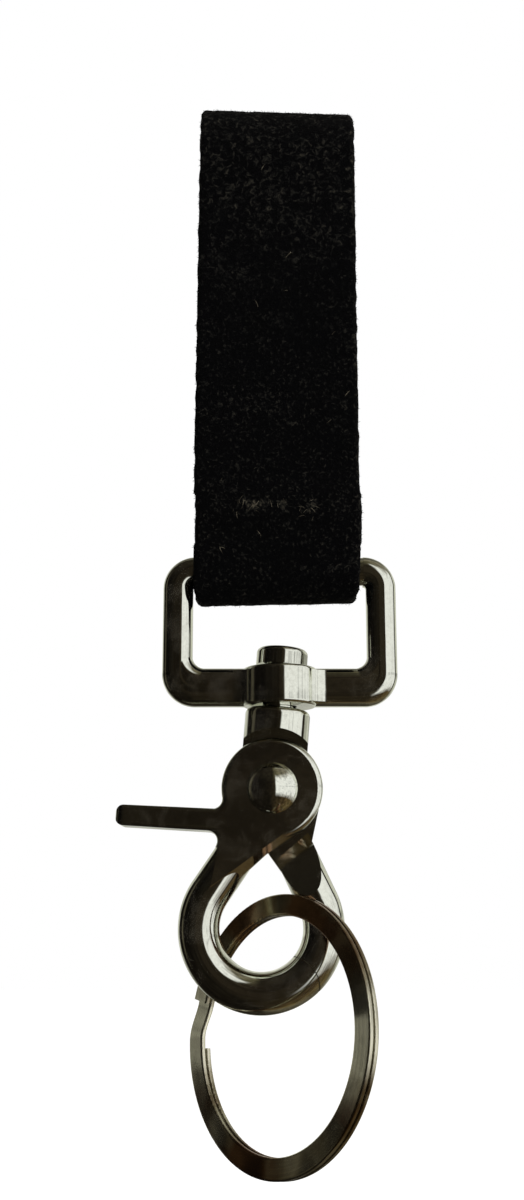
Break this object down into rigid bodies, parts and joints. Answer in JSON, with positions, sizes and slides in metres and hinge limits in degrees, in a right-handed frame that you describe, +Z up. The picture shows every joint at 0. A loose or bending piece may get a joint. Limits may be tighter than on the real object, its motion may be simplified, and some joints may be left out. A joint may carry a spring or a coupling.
{
  "type": "belt key clip",
  "caption": "Belt key clip: a sewn suede belt loop holds a metal frame with a swivelling scissor clasp, opened by a thumb lever, and a split key ring.",
  "frame": {"origin": "crown of the belt loop: the inside top of the fold, in the middle of the strap's width, where a belt's top edge sits", "axes": "+Z up, -Y towards the front, +X along the belt to the right seen from the front"},
  "size_m": [0.0405, 0.0353, 0.1613],
  "materials": {
    "suede": "napped suede, black",
    "thread": "bonded thread, black",
    "frame_metal": "polished die-cast zinc, bright nickel plated",
    "jaw_metal": "polished die-cast zinc, bright nickel plated",
    "rivet_metal": "steel, bright nickel plated",
    "spring_steel": "bright spring wire",
    "ring_metal": "flat steel wire, nickel plated, brushed along its length"
  },
  "bodies": {
    "belt_strap": {"strap": "suede", "stitching": "thread"},
    "frame": {"loop_frame": "frame_metal"},
    "clasp": {"fixed_jaw": "jaw_metal", "pivot_rivet": "rivet_metal", "torsion_spring": "spring_steel"},
    "trigger": {"trigger_jaw": "jaw_metal"},
    "ring": {"split_ring": "ring_metal"}
  },
  "joints": [
    {"name": "frame_swing", "type": "hinge", "parent": "belt_strap", "child": "frame", "pos_m": [0, -0.0045, -0.075], "axis": [1, 0, 0], "range_deg": [-120, 100]},
    {"name": "clasp_swivel", "type": "hinge", "parent": "frame", "child": "clasp", "pos_m": [0, -0.0045, -0.0925], "axis": [0.0785, 0, 0.9969], "continuous": true},
    {"name": "trigger_open", "type": "hinge", "parent": "clasp", "child": "trigger", "pos_m": [-0.00117, -0.0045, -0.1073], "axis": [0, 1, 0], "range_deg": [0, 30], "stiffness_Nm_per_rad": 0.08, "springref_deg": -34.38},
    {"name": "ring_turn", "type": "hinge", "parent": "clasp", "child": "ring", "pos_m": [-0.00046, -0.0087, -0.14036], "axis": [-0.7591, -0.6421, 0.107], "continuous": true}
  ]
}
